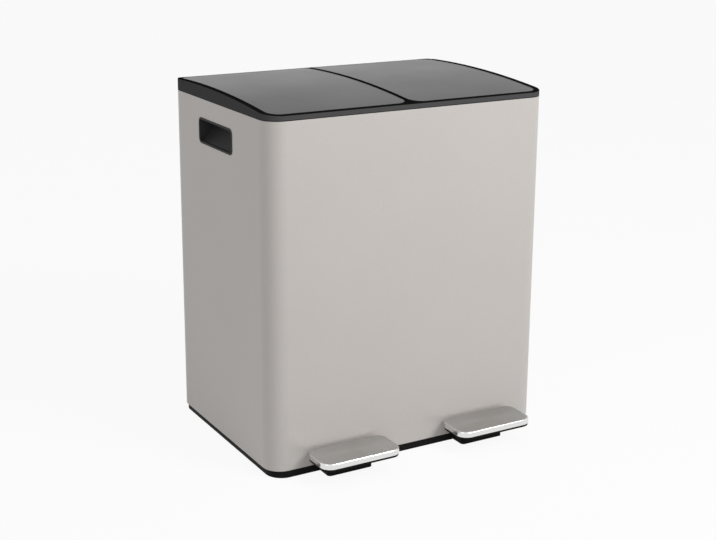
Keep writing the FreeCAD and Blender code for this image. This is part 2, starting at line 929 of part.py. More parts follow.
def make_handle_cup():
    face_x = -half_width
    back_x = face_x + handle_depth
    mouth_x = face_x - handle_lip_proud
    lip = handle_block(0, mouth_x, face_x)
    body = handle_block(handle_lip_width, face_x, back_x)
    wall = handle_lip_width + handle_wall
    low = handle_z_min + wall
    high = handle_z_max - wall
    ramp_top = handle_z_min + handle_ramp_top
    # Side section of the hollow, as (x, z): a sill, a hollowed ramp and a deep pocket above it.
    points = [
        Vector(mouth_x, handle_y_min, low),
        Vector(face_x + handle_sill_depth, handle_y_min, low),
        Vector(back_x - handle_wall, handle_y_min, ramp_top),
        Vector(back_x - handle_wall, handle_y_min, high),
        Vector(mouth_x, handle_y_min, high),
    ]
    sag = Vector(
        (points[1].x + points[2].x) / 2 + handle_ramp_sag, handle_y_min,
        (points[1].z + points[2].z) / 2 - handle_ramp_sag,
    )
    edges = [
        Part.LineSegment(points[0], points[1]).toShape(),
        Part.Arc(points[1], sag, points[2]).toShape(),
        Part.LineSegment(points[2], points[3]).toShape(),
        Part.LineSegment(points[3], points[4]).toShape(),
        Part.LineSegment(points[4], points[0]).toShape(),
    ]
    section = Part.Face(Part.Wire(edges)).extrude(Vector(0, handle_width, 0))
    # Plan of the hollow: its ends draw in with depth.
    plan_points = [
        Vector(mouth_x, handle_y_min + wall, 0),
        Vector(mouth_x, handle_y_max - wall, 0),
        Vector(back_x, handle_y_max - wall - handle_draft, 0),
        Vector(back_x, handle_y_min + wall + handle_draft, 0),
    ]
    plan = Part.Face(Part.makePolygon(plan_points + plan_points[:1]))
    hollow = section.common(prism(plan, low - overrun, high + overrun))
    mouth = handle_block(wall, mouth_x, back_x)
    return less(joined([lip, body]), [hollow.common(mouth)])


# ---- Bucket, right; the left one is the same moulding moved across ----

bucket_x_min = bucket_centre_gap / 2 + bucket_play
bucket_x_max = half_width - handle_depth - bucket_cup_gap - bucket_play
bucket_shift = bucket_x_min + bucket_x_max
bucket_y_min = front + bucket_front_gap + bucket_play
bucket_y_max = cover_front - rear_land - bucket_rim_width - 2 * bucket_play


def bucket_wire(inset, radius, z):
    face = rounded_face(
        bucket_x_min + inset, bucket_x_max - inset, bucket_y_min + inset, bucket_y_max - inset,
        [radius] * 4,
    )
    return face.translated(Vector(0, 0, z)).OuterWire


def bucket_shell(inset, bottom, top):
    """Tapered body, drawn in by an inset."""
    wires = [
        bucket_wire(bucket_taper + inset, bucket_bottom_corner_radius - inset, bottom),
        bucket_wire(inset, bucket_corner_radius - inset, top),
    ]
    return Part.makeLoft(wires, True, True)


def bucket_block(outset, z_min, z_max):
    return rounded_block(
        bucket_x_min - outset, bucket_x_max + outset, bucket_y_min - outset, bucket_y_max + outset,
        bucket_corner_radius + outset, z_min, z_max,
    )


def make_bucket():
    rim_top = ledge_height + bucket_rim_thickness
    bottom = bucket_bottom_height
    outer = bucket_shell(0, bottom, rim_top)
    inner = bucket_shell(bucket_wall, bottom + bucket_wall, rim_top)
    rim = bucket_block(bucket_rim_width, ledge_height, rim_top)
    middle = (bucket_x_min + bucket_x_max) / 2
    grip_top = ledge_height - grip_below_ledge
    grip = front_block(
        middle - grip_width / 2, middle + grip_width / 2, grip_top - grip_height, grip_top,
        grip_corner_radius, bucket_y_min - bucket_play, bucket_y_max + bucket_play,
    )
    return less(joined([outer, rim]), [inner, grip])


# ---- Fixed pieces on both sides ----

both_sides = (-1, 1)
casing_screw_places = [
    (x, z)
    for x in (-casing_screw_spacing, 0.0, casing_screw_spacing)
    for z in (skirt_top + upstand_height / 2, casing_rim_height - frame_skirt_depth / 2)
]
all_cover_screw_places = cover_screw_places + [(-x, z) for x, z in cover_screw_places]


def lever_notch(side, z_min, y_min, y_max):
    half = lever_width / 2 + lever_notch_play
    centre = side * pedal_x
    return box(centre - half, centre + half, y_min, y_max, z_min, lever_top + lever_notch_play)


def make_casing():
    outer = casing_block(0, skirt_top, casing_rim_height)
    inner = casing_block(sheet_thickness, skirt_top, casing_rim_height)
    notches = [lever_notch(side, skirt_top, front, inner_front) for side in both_sides]
    hole_left = handle_block(handle_lip_width, -half_width, -half_width + sheet_thickness)
    seam = box(
        -seam_width / 2, seam_width / 2, rear - seam_depth, rear, skirt_top, casing_rim_height,
    )
    tools = [inner] + notches + [hole_left, mirrored(hole_left), seam]
    tools += screw_holes(casing_screw_places + all_cover_screw_places)
    return less(outer, tools)


foot_places = [
    (sx * (half_width - foot_inset), sy * (half_depth - foot_inset))
    for sx in both_sides
    for sy in both_sides
] + [(0.0, 0.0)]


def foot(x, y):
    return bar_z(x, y, 0, foot_height + foot_sink, foot_radius)


def toe_pad(side):
    centre = side * pedal_x
    middle = front - toe_reach / 2
    return rounded_block(
        centre - toe_pad_width / 2, centre + toe_pad_width / 2,
        middle - toe_pad_depth / 2, middle + toe_pad_depth / 2, toe_pad_corner_radius,
        0, foot_height + foot_sink,
    )


def toe_block(side):
    """Block on the floor under a pedal, with a sloping top and a way for the lever."""
    centre = side * pedal_x
    tip = toe_tip
    back = front + base_wall
    plan = rounded_block(
        centre - toe_width / 2, centre + toe_width / 2, tip, back + toe_corner_radius,
        toe_corner_radius, foot_height, toe_rear_height,
    )
    outline = [
        (tip, foot_height), (tip, toe_front_height), (front, toe_rear_height),
        (back, toe_rear_height), (back, foot_height),
    ]
    steps = [(point,) for point in outline[1:] + outline[:1]]
    slope = side_block(outline[0], steps, centre - toe_width, centre + toe_width)
    return less(plan.common(slope), [lever_notch(side, lever_way_bottom, tip, front)])


def pivot_ears(side):
    ears = []
    for offset in (-ear_outer, ear_inner):
        x_min = side * pedal_x + offset
        x_max = x_min + ear_thickness
        post = box(x_min, x_max, pivot_y - ear_radius, pivot_y + ear_radius, floor_top, pivot_z)
        ears.append(post.fuse(bar_x(x_min, x_max, pivot_y, pivot_z, ear_radius)))
    return ears


def make_base():
    skirt = rounded_block(
        -half_width + skirt_side_inset, half_width - skirt_side_inset, front, rear,
        skirt_corner_radius, foot_height, skirt_top,
    )
    plug_inset = sheet_thickness + plug_clearance
    upstand = casing_block(plug_inset, skirt_top, upstand_top)
    hollow = casing_block(plug_inset + base_wall + skirt_side_inset, floor_top, upstand_top)
    upper_hollow = casing_block(plug_inset + base_wall, skirt_top, upstand_top)
    pieces = [less(joined([skirt, upstand]), [hollow, upper_hollow])]
    pivot_holes = []
    for side in both_sides:
        pieces.append(toe_block(side))
        pieces += pivot_ears(side)
        reach = ear_outer + overrun
        pivot_holes.append(
            bar_x(side * pedal_x - reach, side * pedal_x + reach, pivot_y, pivot_z, pivot_pin_radius)
        )
    tools = pivot_holes
    way_back = front + plug_inset + base_wall + skirt_side_inset
    tools += [lever_notch(side, lever_way_bottom, front, way_back) for side in both_sides]
    tools += [foot(x, y) for x, y in foot_places]
    tools += [toe_pad(side) for side in both_sides]
    tools += screw_holes(casing_screw_places)
    return less(joined(pieces), tools)


def bucket_opening(outset, z_min, z_max):
    return bucket_block(bucket_play + outset, z_min, z_max)


def knuckle(x):
    x_min = x - knuckle_width / 2
    x_max = x + knuckle_width / 2
    post = box(
        x_min, x_max, hinge_y - knuckle_radius, hinge_y + knuckle_radius, ledge_height, hinge_z,
    )
    return post.fuse(bar_x(x_min, x_max, hinge_y, hinge_z, knuckle_radius))


def make_top_frame():
    plug_inset = sheet_thickness + plug_clearance
    flange = casing_block(0, casing_rim_height, deck_top)
    plug = casing_block(plug_inset, frame_bottom, casing_rim_height)
    hollow = casing_block(plug_inset + frame_wall, frame_bottom, deck_bottom)
    solid = less(joined([flange, plug]), [hollow])
    centres = knuckle_centres + [-x for x in knuckle_centres]
    solid = joined([solid] + [knuckle(x) for x in centres])
    opening = bucket_opening(0, frame_bottom, deck_top)
    recess = bucket_opening(bucket_rim_width, ledge_height, deck_top)
    passage = box(
        lid_centre_x - yoke_notch_half, lid_centre_x + yoke_notch_half,
        yoke_front - yoke_clearance, max(yoke_rear, ear_at_deck) + yoke_clearance,
        frame_bottom, deck_top,
    )
    cup_room = handle_block(-handle_play, -half_width, -half_width + handle_depth + handle_play)
    tools = [opening, recess, passage, cup_room]
    tools += [mirrored(tool) for tool in tools]
    tools += [
        bar_x(x - knuckle_width, x + knuckle_width, hinge_y, hinge_z, hinge_pin_radius)
        for x in centres
    ]
    tools += screw_holes(casing_screw_places)
    return less(solid, tools)


def make_lid_surround():
    """Band round the front and sides of both lids, under the same crown. Its sides run
    straight back and end where the casing's rear corners have thinned them."""
    rear_y = rear + overrun
    steps = [
        ((nose_y, crown_height(nose_y)),),
        ((0, crown_height(0)), (rear_y, crown_height(rear_y))),
        ((rear_y, deck_top),),
        ((nose_y, deck_top),),
    ]
    dome = side_block((nose_y, deck_top), steps, -half_width, half_width)
    dome = dome.common(casing_block(0, deck_top, lid_peak_height + overrun)).Solids[0]
    dome = rounded_crown_edges(dome, surround_edge_radius, rear_y)
    corner = casing_corner_radius
    end_reach = corner - surround_width + surround_end_width
    end_y = rear - corner + math.sqrt(corner ** 2 - end_reach ** 2)
    inner_radius = corner - surround_width
    inner = rounded_face(
        -half_width + surround_width, half_width - surround_width, front + surround_width, rear_y,
        [inner_radius, inner_radius, 0, 0],
    )
    top = lid_peak_height + overrun
    tools = [prism(inner, deck_top, top), box(-half_width, half_width, end_y, rear_y, deck_top, top)]
    return less(dome, tools)


def make_hinge_pins():
    half = knuckle_width / 2 + knuckle_play + hinge_pin_grip
    centres = knuckle_centres + [-x for x in knuckle_centres]
    return Part.makeCompound(
        [bar_x(x - half, x + half, hinge_y, hinge_z, hinge_pin_radius) for x in centres]
    )


# ---- Write one STEP file per piece ----

def with_mirror(solids):
    """A group of the left pieces and their mirror images on the right."""
    return Part.makeCompound(solids + [mirrored(solid) for solid in solids])


paired = {
    "lid_frame": make_lid_frame(),
    "lid_panel": make_lid_panel(),
    "lid_liner": make_lid_liner(),
    "lid_bumpers": make_lid_bumpers(),
    "liner_screws": make_liner_screws(),
    "crank_pin": make_crank_pin(),
    "push_rod": make_push_rod(),
    "rod_yoke": make_rod_yoke(),
    "rod_foot": make_rod_foot(),
    "damper_arm": make_damper_arm(),
    "damper_piston": make_damper_piston(),
    "damper_cylinder": make_damper_cylinder(),
    "rod_cover": make_rod_cover(),
    "pedal_cover": make_pedal_cover(),
    "pedal_carrier": make_pedal_carrier(),
    "pedal_lever": make_pedal_lever(),
    "pedal_screws": make_pedal_screws(),
    "lever_end_pin": make_lever_end_pin(),
    "handle_cup": make_handle_cup(),
}

bucket = make_bucket()

single = {
    "bucket_right": bucket,
    "bucket_left": bucket.translated(Vector(-bucket_shift, 0, 0)),
    "casing": make_casing(),
    "base": make_base(),
    "top_frame": make_top_frame(),
    "lid_surround": make_lid_surround(),
    "feet": Part.makeCompound([foot(x, y) for x, y in foot_places]),
    "toe_pads": Part.makeCompound([toe_pad(side) for side in both_sides]),
    "hinge_pins": make_hinge_pins(),
    "lever_pivot_pins": with_mirror([make_lever_pivot_pin()]),
    "rod_guides": with_mirror([make_rod_guide(height) for height in guide_heights]),
    "casing_screws": Part.makeCompound([screw(x, z, rear) for x, z in casing_screw_places]),
    "cover_screws": Part.makeCompound([screw(x, z, rear) for x, z in all_cover_screw_places]),
}

os.makedirs("parts", exist_ok=True)
for name, shape in single.items():
    shape.exportStep("parts/" + name + ".step")
for name, shape in paired.items():
    shape.exportStep("parts/" + name + "_left.step")
    mirrored(shape).exportStep("parts/" + name + "_right.step")

print("hinge axis y %.4f z %.4f" % (hinge_y, hinge_z))
print("lever pivot y %.4f z %.4f" % (pivot_y, pivot_z))
print("pedal angle %.5f for lid opening %.1f" % (pedal_angle, lid_opening))
print("pedal degrees per lid degree %.7f" % (pedal_angle / lid_opening))
print("rod travel %.5f" % rod_travel)
print("rod metres per lid radian %.8f" % (rod_travel / 1000 / math.radians(lid_opening)))
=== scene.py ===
import bpy
import bmesh
import math
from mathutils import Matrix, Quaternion, Vector

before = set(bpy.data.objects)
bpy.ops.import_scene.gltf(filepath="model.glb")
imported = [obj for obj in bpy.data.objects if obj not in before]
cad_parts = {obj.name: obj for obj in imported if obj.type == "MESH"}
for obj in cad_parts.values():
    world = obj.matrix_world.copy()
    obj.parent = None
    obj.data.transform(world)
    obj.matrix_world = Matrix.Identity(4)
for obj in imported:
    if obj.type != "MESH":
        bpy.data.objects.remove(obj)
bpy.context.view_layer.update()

# Lengths are in metres and colours are linear. A texture's scale counts its features per
# metre, so that a scale of 1500 makes them about 0.7 mm wide.

# ---- Node helpers ----

# The Mix node lists its sockets for numbers and vectors before those for colours.
mix_first_colour = 6
mix_second_colour = 7
mix_result_colour = 2
mask_span = (0.0, 1.0)


def feed(tree, value, socket):
    """Gives a socket a number, a triple, or the output of another node."""
    if isinstance(value, bpy.types.NodeSocket):
        tree.links.new(value, socket)
    elif socket.type == "RGBA":
        socket.default_value = value + (1.0,)
    else:
        socket.default_value = value


def new_group(name, inputs, outputs):
    """A shader node group with named sockets, and its two end nodes."""
    group = bpy.data.node_groups.new(name, "ShaderNodeTree")
    kinds = {"vector": "NodeSocketVector", "value": "NodeSocketFloat"}
    for label, kind in inputs:
        group.interface.new_socket(label, in_out="INPUT", socket_type=kinds[kind])
    for label, kind in outputs:
        group.interface.new_socket(label, in_out="OUTPUT", socket_type=kinds[kind])
    return group, group.nodes.new("NodeGroupInput"), group.nodes.new("NodeGroupOutput")


def use_group(tree, group, **values):
    """Places a group, with each input given as a number or a socket."""
    node = tree.nodes.new("ShaderNodeGroup")
    node.node_tree = group
    for label, value in values.items():
        feed(tree, value, node.inputs[label.replace("_", " ")])
    return node


def math_node(tree, operation, first, second):
    """A Math node fed by sockets or plain numbers."""
    node = tree.nodes.new("ShaderNodeMath")
    node.operation = operation
    feed(tree, first, node.inputs[0])
    feed(tree, second, node.inputs[1])
    return node.outputs[0]


def spread(tree, value, given, wanted):
    """Map Range from one span of values, a pair, to another, clamped."""
    node = tree.nodes.new("ShaderNodeMapRange")
    feed(tree, value, node.inputs["Value"])
    feed(tree, given[0], node.inputs["From Min"])
    feed(tree, given[1], node.inputs["From Max"])
    feed(tree, wanted[0], node.inputs["To Min"])
    feed(tree, wanted[1], node.inputs["To Max"])
    return node.outputs["Result"]


def noise(tree, point, scale, detail, roughness):
    """A Noise Texture's value."""
    node = tree.nodes.new("ShaderNodeTexNoise")
    feed(tree, point, node.inputs["Vector"])
    feed(tree, scale, node.inputs["Scale"])
    feed(tree, detail, node.inputs["Detail"])
    feed(tree, roughness, node.inputs["Roughness"])
    return node.outputs["Fac"]


def mix_colour(tree, factor, first, second, blend="MIX"):
    """Mixes two colours, each a triple or a socket, by a number or a socket's value."""
    node = tree.nodes.new("ShaderNodeMix")
    node.data_type = "RGBA"
    node.blend_type = blend
    feed(tree, factor, node.inputs["Factor"])
    feed(tree, first, node.inputs[mix_first_colour])
    feed(tree, second, node.inputs[mix_second_colour])
    return node.outputs[mix_result_colour]


def stretched(tree, place, along):
    """The place on the piece, scaled by its own factor along each axis."""
    node = tree.nodes.new("ShaderNodeMapping")
    feed(tree, along, node.inputs["Scale"])
    feed(tree, place, node.inputs["Vector"])
    return node.outputs["Vector"]


def facing_up(tree, place, slopes):
    """Mask of the faces that look up, as the piece is made. It rises between two slopes."""
    facing = tree.nodes.new("ShaderNodeSeparateXYZ")
    feed(tree, place.node.outputs["Normal"], facing.inputs["Vector"])
    return spread(tree, facing.outputs["Z"], slopes, mask_span)


def rub_marks(tree, place, along):
    """Fine scratches drawn out along one direction, as a mask."""
    lines = noise(tree, stretched(tree, place, along), scale=1.0, detail=5.0, roughness=0.65)
    return spread(tree, lines, (0.56, 0.72), mask_span)


def raise_surface(tree, shader, height, distance, strength, base=None):
    """Bump from a height, over the softened normal if one is given."""
    bump = tree.nodes.new("ShaderNodeBump")
    feed(tree, distance, bump.inputs["Distance"])
    feed(tree, strength, bump.inputs["Strength"])
    feed(tree, height, bump.inputs["Height"])
    if base is not None:
        feed(tree, base, bump.inputs["Normal"])
    feed(tree, bump.outputs["Normal"], shader.inputs["Normal"])


def new_finish(name):
    """A material with its shader and its place on the piece."""
    finish = bpy.data.materials.new(name)
    finish.use_nodes = True
    tree = finish.node_tree
    shader = tree.nodes["Principled BSDF"]
    place = tree.nodes.new("ShaderNodeTexCoord")
    return finish, tree, shader, place.outputs["Object"]


def dress(finish, *names):
    """Gives CAD nodes a material."""
    for name in names:
        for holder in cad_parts[name].material_slots:
            holder.material = finish


def on_both(*names):
    """The names of the left and the right piece of each kind."""
    return [name + side for name in names for side in ("_left", "_right")]


# ---- Textures that several materials share ----


def make_sprayed_coat():
    """Sprayed coat: fine flakes in the colour and a soft ripple in the surface."""
    group, given, out = new_group(
        "sprayed_coat",
        [("Point", "vector"), ("Flake Scale", "value"), ("Ripple Scale", "value")],
        [("Flake", "value"), ("Ripple", "value"), ("Cloud", "value")],
    )
    point = given.outputs["Point"]
    cells = group.nodes.new("ShaderNodeTexVoronoi")
    feed(group, point, cells.inputs["Vector"])
    feed(group, given.outputs["Flake Scale"], cells.inputs["Scale"])
    bright = group.nodes.new("ShaderNodeSeparateColor")
    feed(group, cells.outputs["Color"], bright.inputs["Color"])
    ripple = noise(group, point, given.outputs["Ripple Scale"], detail=2.0, roughness=0.4)
    cloud = noise(group, point, scale=5.0, detail=3.0, roughness=0.55)
    feed(group, bright.outputs["Red"], out.inputs["Flake"])
    feed(group, ripple, out.inputs["Ripple"])
    feed(group, cloud, out.inputs["Cloud"])
    return group


def make_softened_edge():
    """Softened edges: the rounded normal, and how far it departs from the flat one."""
    group, given, out = new_group(
        "softened_edge",
        [("Radius", "value")],
        [("Normal", "vector"), ("Edge", "value")],
    )
    soft = group.nodes.new("ShaderNodeBevel")
    soft.samples = 6
    feed(group, given.outputs["Radius"], soft.inputs["Radius"])
    flat = group.nodes.new("ShaderNodeNewGeometry")
    across = group.nodes.new("ShaderNodeVectorMath")
    across.operation = "DOT_PRODUCT"
    feed(group, soft.outputs["Normal"], across.inputs[0])
    feed(group, flat.outputs["Normal"], across.inputs[1])
    flat_to_round = (1.0, 0.75)
    edge = spread(group, across.outputs["Value"], flat_to_round, mask_span)
    feed(group, soft.outputs["Normal"], out.inputs["Normal"])
    feed(group, edge, out.inputs["Edge"])
    return group


def make_mould_texture():
    """Spark texture of a mould: fine pits, and slow changes of sheen."""
    group, given, out = new_group(
        "mould_texture",
        [("Point", "vector"), ("Grain Scale", "value")],
        [("Height", "value"), ("Sheen", "value"), ("Shade", "value")],
    )
    point = given.outputs["Point"]
    pits = noise(group, point, given.outputs["Grain Scale"], detail=4.0, roughness=0.6)
    flow = noise(group, point, scale=14.0, detail=4.0, roughness=0.6)
    fine = noise(group, point, scale=260.0, detail=2.0, roughness=0.5)
    slow_sheen = math_node(group, "MULTIPLY", flow, 0.7)
    fine_sheen = math_node(group, "MULTIPLY", fine, 0.3)
    feed(group, pits, out.inputs["Height"])
    feed(group, math_node(group, "ADD", slow_sheen, fine_sheen), out.inputs["Sheen"])
    feed(group, flow, out.inputs["Shade"])
    return group


def make_brushing():
    """Brushing: fine lines along the way in which the point was stretched."""
    group, given, out = new_group("brushing", [("Point", "vector")], [("Lines", "value")])
    lines = noise(group, given.outputs["Point"], scale=1.0, detail=6.0, roughness=0.75)
    feed(group, lines, out.inputs["Lines"])
    return group


sprayed_coat = make_sprayed_coat()
softened_edge = make_softened_edge()
mould_texture = make_mould_texture()
brushing = make_brushing()

# ---- Kinds of material ----


def moulded_plastic(name, dark, light, rough, grain, depth, edge_radius, worn, gloss,
                    upright_painted_sheen=None):
    """Moulded plastic with pits, uneven sheen and edges rubbed a little paler. Where an upright
    colour is given, its upright faces take it: a painted sheen of the light falling on them."""
    finish, tree, shader, place = new_finish(name)
    mould = use_group(tree, mould_texture, Point=place, Grain_Scale=grain)
    edges = use_group(tree, softened_edge, Radius=edge_radius)
    sheen_span = (0.35, 0.65)
    upright_to_level = (0.3, 0.8)
    rubbed_gain = 2.6
    body = mix_colour(tree, mould.outputs["Shade"], dark, light)
    # Painted light: upright faces get a paler colour than the top, a painted sheen.
    if upright_painted_sheen is not None:
        body = mix_colour(tree, facing_up(tree, place, upright_to_level), upright_painted_sheen, body)
    rub = math_node(tree, "MULTIPLY", edges.outputs["Edge"], worn)
    paler = tuple(rubbed_gain * part for part in light)
    feed(tree, mix_colour(tree, rub, body, paler), shader.inputs["Base Color"])
    feed(tree, spread(tree, mould.outputs["Sheen"], sheen_span, rough), shader.inputs["Roughness"])
    feed(tree, gloss, shader.inputs["Specular IOR Level"])
    raise_surface(tree, shader, mould.outputs["Height"], distance=depth, strength=0.6,
                  base=edges.outputs["Normal"])
    return finish


def bare_metal(name, dark, light, rough, along, depth, edge_radius):
    """Ground or rolled metal with lines along one direction and brighter edges."""
    finish, tree, shader, place = new_finish(name)
    lines = use_group(tree, brushing, Point=stretched(tree, place, along)).outputs["Lines"]
    edges = use_group(tree, softened_edge, Radius=edge_radius)
    line_span = (0.3, 0.7)
    edge_gain = 1.15
    edge_share = 0.5
    body = mix_colour(tree, lines, dark, light)
    bright = tuple(edge_gain * part for part in light)
    rub = math_node(tree, "MULTIPLY", edges.outputs["Edge"], edge_share)
    feed(tree, mix_colour(tree, rub, body, bright), shader.inputs["Base Color"])
    feed(tree, spread(tree, lines, line_span, rough), shader.inputs["Roughness"])
    feed(tree, 1.0, shader.inputs["Metallic"])
    raise_surface(tree, shader, lines, distance=depth, strength=0.4,
                  base=edges.outputs["Normal"])
    return finish


# ---- Casing ----
# One wrap of thin sheet steel, joined by a seam at the rear. It has a warm light grey
# baked coat with fine metal flake, a soft sheen and the faint ripple of a sprayed finish.


def make_casing_coat():
    finish, tree, shader, place = new_finish("casing_coat")
    coat = use_group(tree, sprayed_coat, Point=place, Flake_Scale=1500.0, Ripple_Scale=700.0)
    edges = use_group(tree, softened_edge, Radius=0.0006)
    cloud = coat.outputs["Cloud"]
    tint = mix_colour(tree, cloud, (0.520, 0.490, 0.466), (0.545, 0.516, 0.492))
    flakes = mix_colour(tree, coat.outputs["Flake"], (0.93, 0.93, 0.93), (1.0, 1.0, 1.0))
    glint = mix_colour(tree, 1.0, tint, flakes, blend="MULTIPLY")
    feed(tree, glint, shader.inputs["Base Color"])
    feed(tree, spread(tree, cloud, (0.3, 0.7), (0.36, 0.44)), shader.inputs["Roughness"])
    feed(tree, 0.12, shader.inputs["Metallic"])
    raise_surface(tree, shader, coat.outputs["Ripple"], distance=0.00003, strength=0.5,
                  base=edges.outputs["Normal"])
    return finish


dress(make_casing_coat(), "casing")

# ---- Base and top frame ----
# Injection-moulded black polypropylene: the pan that plugs into the foot of the casing, with
# its toe blocks, and the frame in the casing's mouth. Both have the fine spark texture of a
# mould and a dull sheen.

base_plastic = moulded_plastic(
    "base_plastic", dark=(0.006, 0.006, 0.006), light=(0.009, 0.009, 0.009), rough=(0.50, 0.62),
    grain=1400.0, depth=0.00005, edge_radius=0.0006, worn=0.25, gloss=0.06,
)
frame_plastic = moulded_plastic(
    "frame_plastic", dark=(0.008, 0.008, 0.0085), light=(0.012, 0.012, 0.0125),
    rough=(0.42, 0.54), grain=1500.0, depth=0.00004, edge_radius=0.0005, worn=0.15, gloss=0.10,
)
dress(base_plastic, "base")
dress(frame_plastic, "top_frame")

# ---- Feet, toe pads and lid bumpers ----
# Soft grey-black rubber pads, pressed into pockets under the base and the toe blocks, and
# under the front of the lids. They are matt, and pick up dust.


def make_rubber():
    finish, tree, shader, place = new_finish("foot_rubber")
    mould = use_group(tree, mould_texture, Point=place, Grain_Scale=900.0)
    sheen = mould.outputs["Sheen"]
    dusty = spread(tree, sheen, (0.45, 0.7), (0.0, 0.6))
    body = mix_colour(tree, dusty, (0.022, 0.022, 0.022), (0.075, 0.072, 0.068))
    feed(tree, body, shader.inputs["Base Color"])
    feed(tree, spread(tree, sheen, (0.3, 0.7), (0.75, 0.9)), shader.inputs["Roughness"])
    raise_surface(tree, shader, mould.outputs["Height"], distance=0.0001, strength=0.7)
    return finish


dress(make_rubber(), "feet", "toe_pads", *on_both("lid_bumpers"))

# ---- Hand-hold cups ----
# Black cups snapped into the side openings. The moulding is smoother than the frame, because
# the cup's mould is polished where the fingers go. Its black is a little paler than the
# frame's: painted light that stands in for the light reaching into the recess.

# The paler black of the cup is painted light for the shaded recess.
cup_plastic = moulded_plastic(
    "cup_plastic", dark=(0.030, 0.030, 0.031), light=(0.038, 0.038, 0.039), rough=(0.34, 0.44),
    grain=1800.0, depth=0.00002, edge_radius=0.0008, worn=0.0, gloss=0.05,
)
dress(cup_plastic, *on_both("handle_cup"))

# ---- Buckets ----
# Tapered inner buckets of dark grey polypropylene that hang by their rims in the frame.
# Lifting them in and out leaves fine upright rub marks on the walls.


def make_bucket_plastic():
    finish, tree, shader, place = new_finish("bucket_plastic")
    mould = use_group(tree, mould_texture, Point=place, Grain_Scale=1100.0)
    edges = use_group(tree, softened_edge, Radius=0.0006)
    upright = (420.0, 420.0, 9.0)
    marks_share = 0.35
    marks = math_node(tree, "MULTIPLY", rub_marks(tree, place, upright), marks_share)
    body = mix_colour(tree, mould.outputs["Shade"], (0.050, 0.051, 0.053), (0.066, 0.067, 0.069))
    feed(tree, mix_colour(tree, marks, body, (0.15, 0.15, 0.152)), shader.inputs["Base Color"])
    rough = spread(tree, mould.outputs["Sheen"], (0.35, 0.65), (0.46, 0.58))
    feed(tree, rough, shader.inputs["Roughness"])
    raise_surface(tree, shader, mould.outputs["Height"], distance=0.00006, strength=0.6,
                  base=edges.outputs["Normal"])
    return finish


dress(make_bucket_plastic(), *on_both("bucket"))

# ---- Push rods, levers and dampers ----
# Ground steel rods and pins, levers and covers pressed from zinc-coated sheet, natural
# white sliders on the rods, and black soft-close dampers beside the rod covers.

pin_steel = bare_metal(
    "pin_steel", dark=(0.52, 0.52, 0.52), light=(0.62, 0.62, 0.61), rough=(0.22, 0.32),
    along=(900.0, 900.0, 120.0), depth=0.00001, edge_radius=0.0003,
)
zinc_sheet = bare_metal(
    "zinc_sheet", dark=(0.46, 0.47, 0.48), light=(0.60, 0.61, 0.63), rough=(0.34, 0.48),
    along=(90.0, 70.0, 60.0), depth=0.00001, edge_radius=0.0004,
)
screw_steel = bare_metal(
    "screw_steel", dark=(0.42, 0.42, 0.41), light=(0.55, 0.55, 0.53), rough=(0.28, 0.40),
    along=(700.0, 300.0, 700.0), depth=0.00002, edge_radius=0.0003,
)
slider_plastic = moulded_plastic(
    "slider_plastic", dark=(0.60, 0.59, 0.55), light=(0.68, 0.67, 0.63), rough=(0.38, 0.48),
    grain=1500.0, depth=0.00002, edge_radius=0.0005, worn=0.0, gloss=0.5,
)
damper_plastic = moulded_plastic(
    "damper_plastic", dark=(0.016, 0.016, 0.016), light=(0.024, 0.024, 0.024),
    rough=(0.22, 0.32), grain=1500.0, depth=0.00001, edge_radius=0.0005, worn=0.1, gloss=0.5,
)
dress(pin_steel, "hinge_pins", "lever_pivot_pins",
      *on_both("crank_pin", "lever_end_pin", "push_rod", "damper_piston"))
dress(zinc_sheet, *on_both("rod_cover", "damper_arm", "pedal_lever"))
dress(slider_plastic, "rod_guides", *on_both("rod_yoke", "rod_foot"))
dress(damper_plastic, *on_both("damper_cylinder"))
dress(screw_steel, "casing_screws", "cover_screws", *on_both("pedal_screws", "liner_screws"))

# ---- Lid frames, their surround and liners ----
# Each lid is a black moulded frame with the hinge barrel at its rear, closed from below by
# a flat liner with four screws. A fixed band goes round the front and sides of both lids.
# Both have a deep matt black grain. The band's upright faces are painted paler than its top, a
# painted sheen of the light that falls on them.

lid_plastic = moulded_plastic(
    "lid_plastic", dark=(0.006, 0.006, 0.0063), light=(0.010, 0.010, 0.0103),
    rough=(0.50, 0.60), grain=1500.0, depth=0.00003, edge_radius=0.0007, worn=0.10, gloss=0.0,
)
surround_plastic = moulded_plastic(
    "surround_plastic", dark=(0.006, 0.006, 0.0063), light=(0.010, 0.010, 0.0103),
    rough=(0.50, 0.60), grain=1500.0, depth=0.00003, edge_radius=0.0007, worn=0.20, gloss=0.0,
    # The band's paler upright colour is a painted sheen, not wear.
    upright_painted_sheen=(0.072, 0.071, 0.072),
)
liner_plastic = moulded_plastic(
    "liner_plastic", dark=(0.014, 0.014, 0.0145), light=(0.020, 0.020, 0.021),
    rough=(0.50, 0.60), grain=1300.0, depth=0.00005, edge_radius=0.0005, worn=0.1, gloss=0.25,
)
dress(lid_plastic, *on_both("lid_frame"))
dress(surround_plastic, "lid_surround")
dress(liner_plastic, *on_both("lid_liner"))

# ---- Lid panels ----
# Curved steel panels glued into the lid frames, coated dark grey. The satin coat has very
# fine flake and turns paler towards the rear, where it mirrors the bright room at a low angle.


